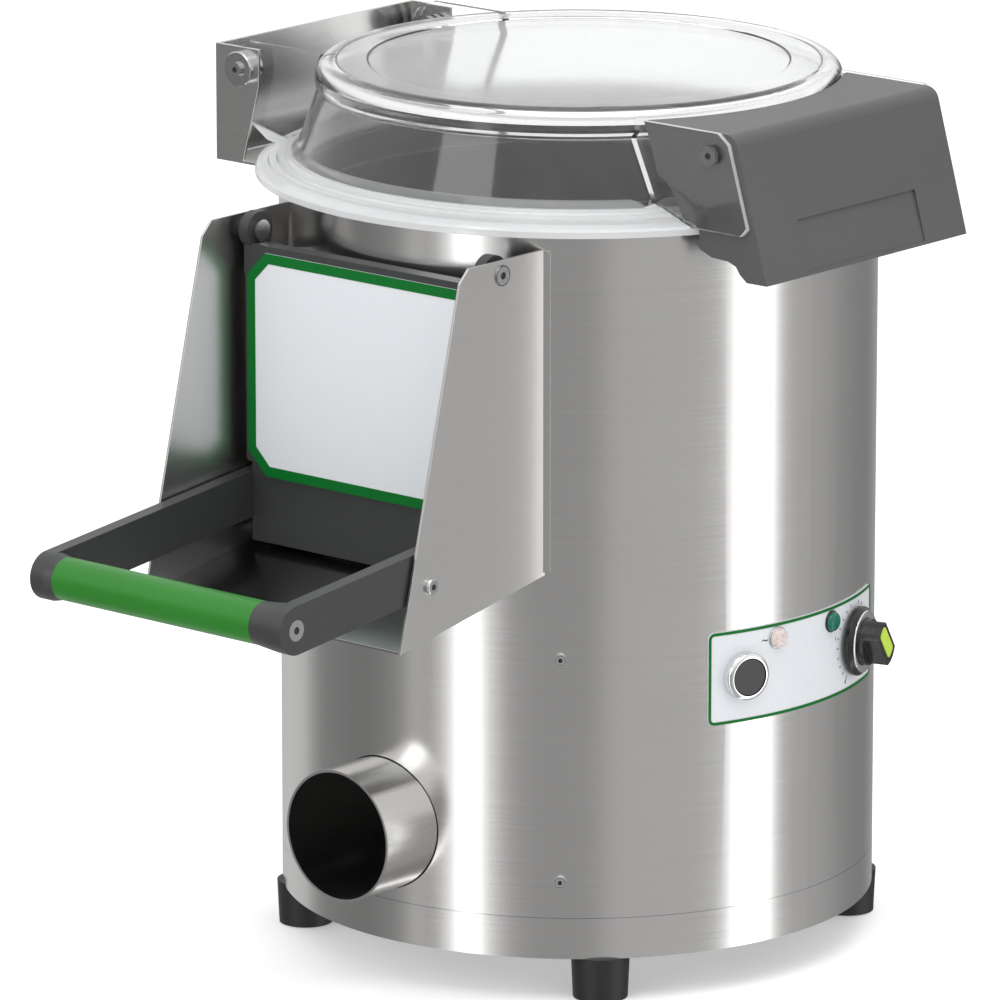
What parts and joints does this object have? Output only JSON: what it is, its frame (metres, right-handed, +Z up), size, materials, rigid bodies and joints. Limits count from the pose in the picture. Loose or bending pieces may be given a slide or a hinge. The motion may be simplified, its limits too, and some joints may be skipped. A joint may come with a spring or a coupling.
{
  "type": "electric potato peeler",
  "caption": "Upright drum peeler with a hinged clear lid, a front discharge door with a handled tray, a drain spout and a curved control panel.",
  "frame": {"origin": "on the drum axis at floor level", "axes": "+Z up; the discharge door and drain face -Y; the lid hinge is at -X, the lid handle and control panel at +X"},
  "size_m": [0.4335, 0.5922, 0.5345],
  "materials": {
    "stainless": "brushed stainless sheet",
    "drum_steel": "stainless sheet, dull",
    "screw_steel": "polished screw heads",
    "shaft_steel": "turned steel",
    "casting": "matt cast aluminium",
    "pulley_metal": "turned casting",
    "motor_paint": "semi-matt paint",
    "abrasive": "silicon carbide grit coat",
    "black_rubber": "matt rubber",
    "belt_rubber": "fabric-backed rubber",
    "gasket_rubber": "soft rubber",
    "clear_rubber": "pale silicone",
    "clear_plastic": "clear polycarbonate",
    "dark_plastic": "charcoal moulded plastic",
    "grey_plastic": "fine-grained grey plastic",
    "green_plastic": "green ribbed sleeve",
    "label_face": "printed label, plain",
    "panel_face": "printed label, plain",
    "black_plastic": "moulded plastic",
    "bezel_metal": "chromed ring",
    "clear_lens": "clear lamp lens",
    "green_lens": "green lamp lens",
    "pointer_green": "moulded pointer",
    "white_plastic": "moulded plastic",
    "magnet_metal": "plated magnet",
    "capacitor_can": "aluminium can"
  },
  "bodies": {
    "machine": {"base_pan": "stainless", "rubber_feet": "black_rubber", "foot_screws": "screw_steel", "body_shell": "stainless", "body_screws": "screw_steel", "peeling_drum": "drum_steel", "drum_base": "drum_steel", "service_plate": "stainless", "drum_lining": "abrasive", "bearing_housing": "casting", "upper_bearing": "shaft_steel", "lower_bearing": "shaft_steel", "bearing_spacer": "shaft_steel", "shaft_seal": "gasket_rubber", "drive_belt": "belt_rubber", "motor_body": "motor_paint", "motor_plate": "drum_steel", "motor_posts": "shaft_steel", "run_capacitor": "capacitor_can", "drain_pipe": "stainless", "chute_side_right": "stainless", "chute_side_left": "stainless", "chute_floor": "stainless", "chute_screws": "screw_steel", "discharge_frame": "drum_steel", "door_gasket": "gasket_rubber", "pivot_bolts": "screw_steel", "pivot_bushes": "black_plastic", "hinge_bracket": "stainless", "hinge_pins": "screw_steel", "panel_label": "panel_face", "button_bezel": "bezel_metal", "button_switch": "white_plastic", "clear_lamp": "clear_lens", "green_lamp": "green_lens", "timer_body": "white_plastic", "water_inlet": "black_plastic", "cable_gland": "black_plastic", "lid_switch": "black_plastic"},
    "lid": {"clear_lid": "clear_plastic", "lid_gasket": "clear_rubber", "lid_handle": "grey_plastic", "handle_screws": "screw_steel", "lid_magnet": "magnet_metal"},
    "door": {"door_casting": "dark_plastic", "door_label": "label_face", "door_plug": "black_plastic", "grip_tube": "green_plastic", "grip_screws": "screw_steel"},
    "disc": {"drive_shaft": "shaft_steel", "abrasive_disc": "abrasive", "disc_nut": "screw_steel", "disc_wipers": "black_rubber", "driven_pulley": "pulley_metal"},
    "motor_shaft": {"motor_rotor": "shaft_steel", "motor_pulley": "pulley_metal"},
    "timer": {"timer_knob": "black_plastic", "knob_pointer": "pointer_green"},
    "button": {"start_button": "black_plastic"}
  },
  "joints": [
    {"name": "lid_hinge", "type": "hinge", "parent": "machine", "child": "lid", "pos_m": [-0.19, 0, 0.5165], "axis": [0, -1, 0], "range_deg": [0, 95]},
    {"name": "door_hinge", "type": "hinge", "parent": "machine", "child": "door", "pos_m": [0, -0.1875, 0.4475], "axis": [-1, 0, 0], "range_deg": [0, 75]},
    {"name": "disc_spin", "type": "hinge", "parent": "machine", "child": "disc", "pos_m": [0, 0, 0], "axis": [0, 0, 1], "continuous": true},
    {"name": "motor_spin", "type": "hinge", "parent": "machine", "child": "motor_shaft", "pos_m": [0, 0.112, 0], "axis": [0, 0, 1], "continuous": true},
    {"name": "timer_turn", "type": "hinge", "parent": "machine", "child": "timer", "pos_m": [0.1725, 0.05142, 0.1935], "axis": [0.9583, 0.2857, 0], "range_deg": [0, 300]},
    {"name": "button_press", "type": "slide", "parent": "machine", "child": "button", "axis": [-0.9568, 0.2907, 0], "range_m": [0, 0.0025], "stiffness_N_per_m": 400, "springref_m": -0.001}
  ],
  "couplings": [
    {"joint": "motor_spin", "follows": "disc_spin", "ratio": 5.17}
  ]
}
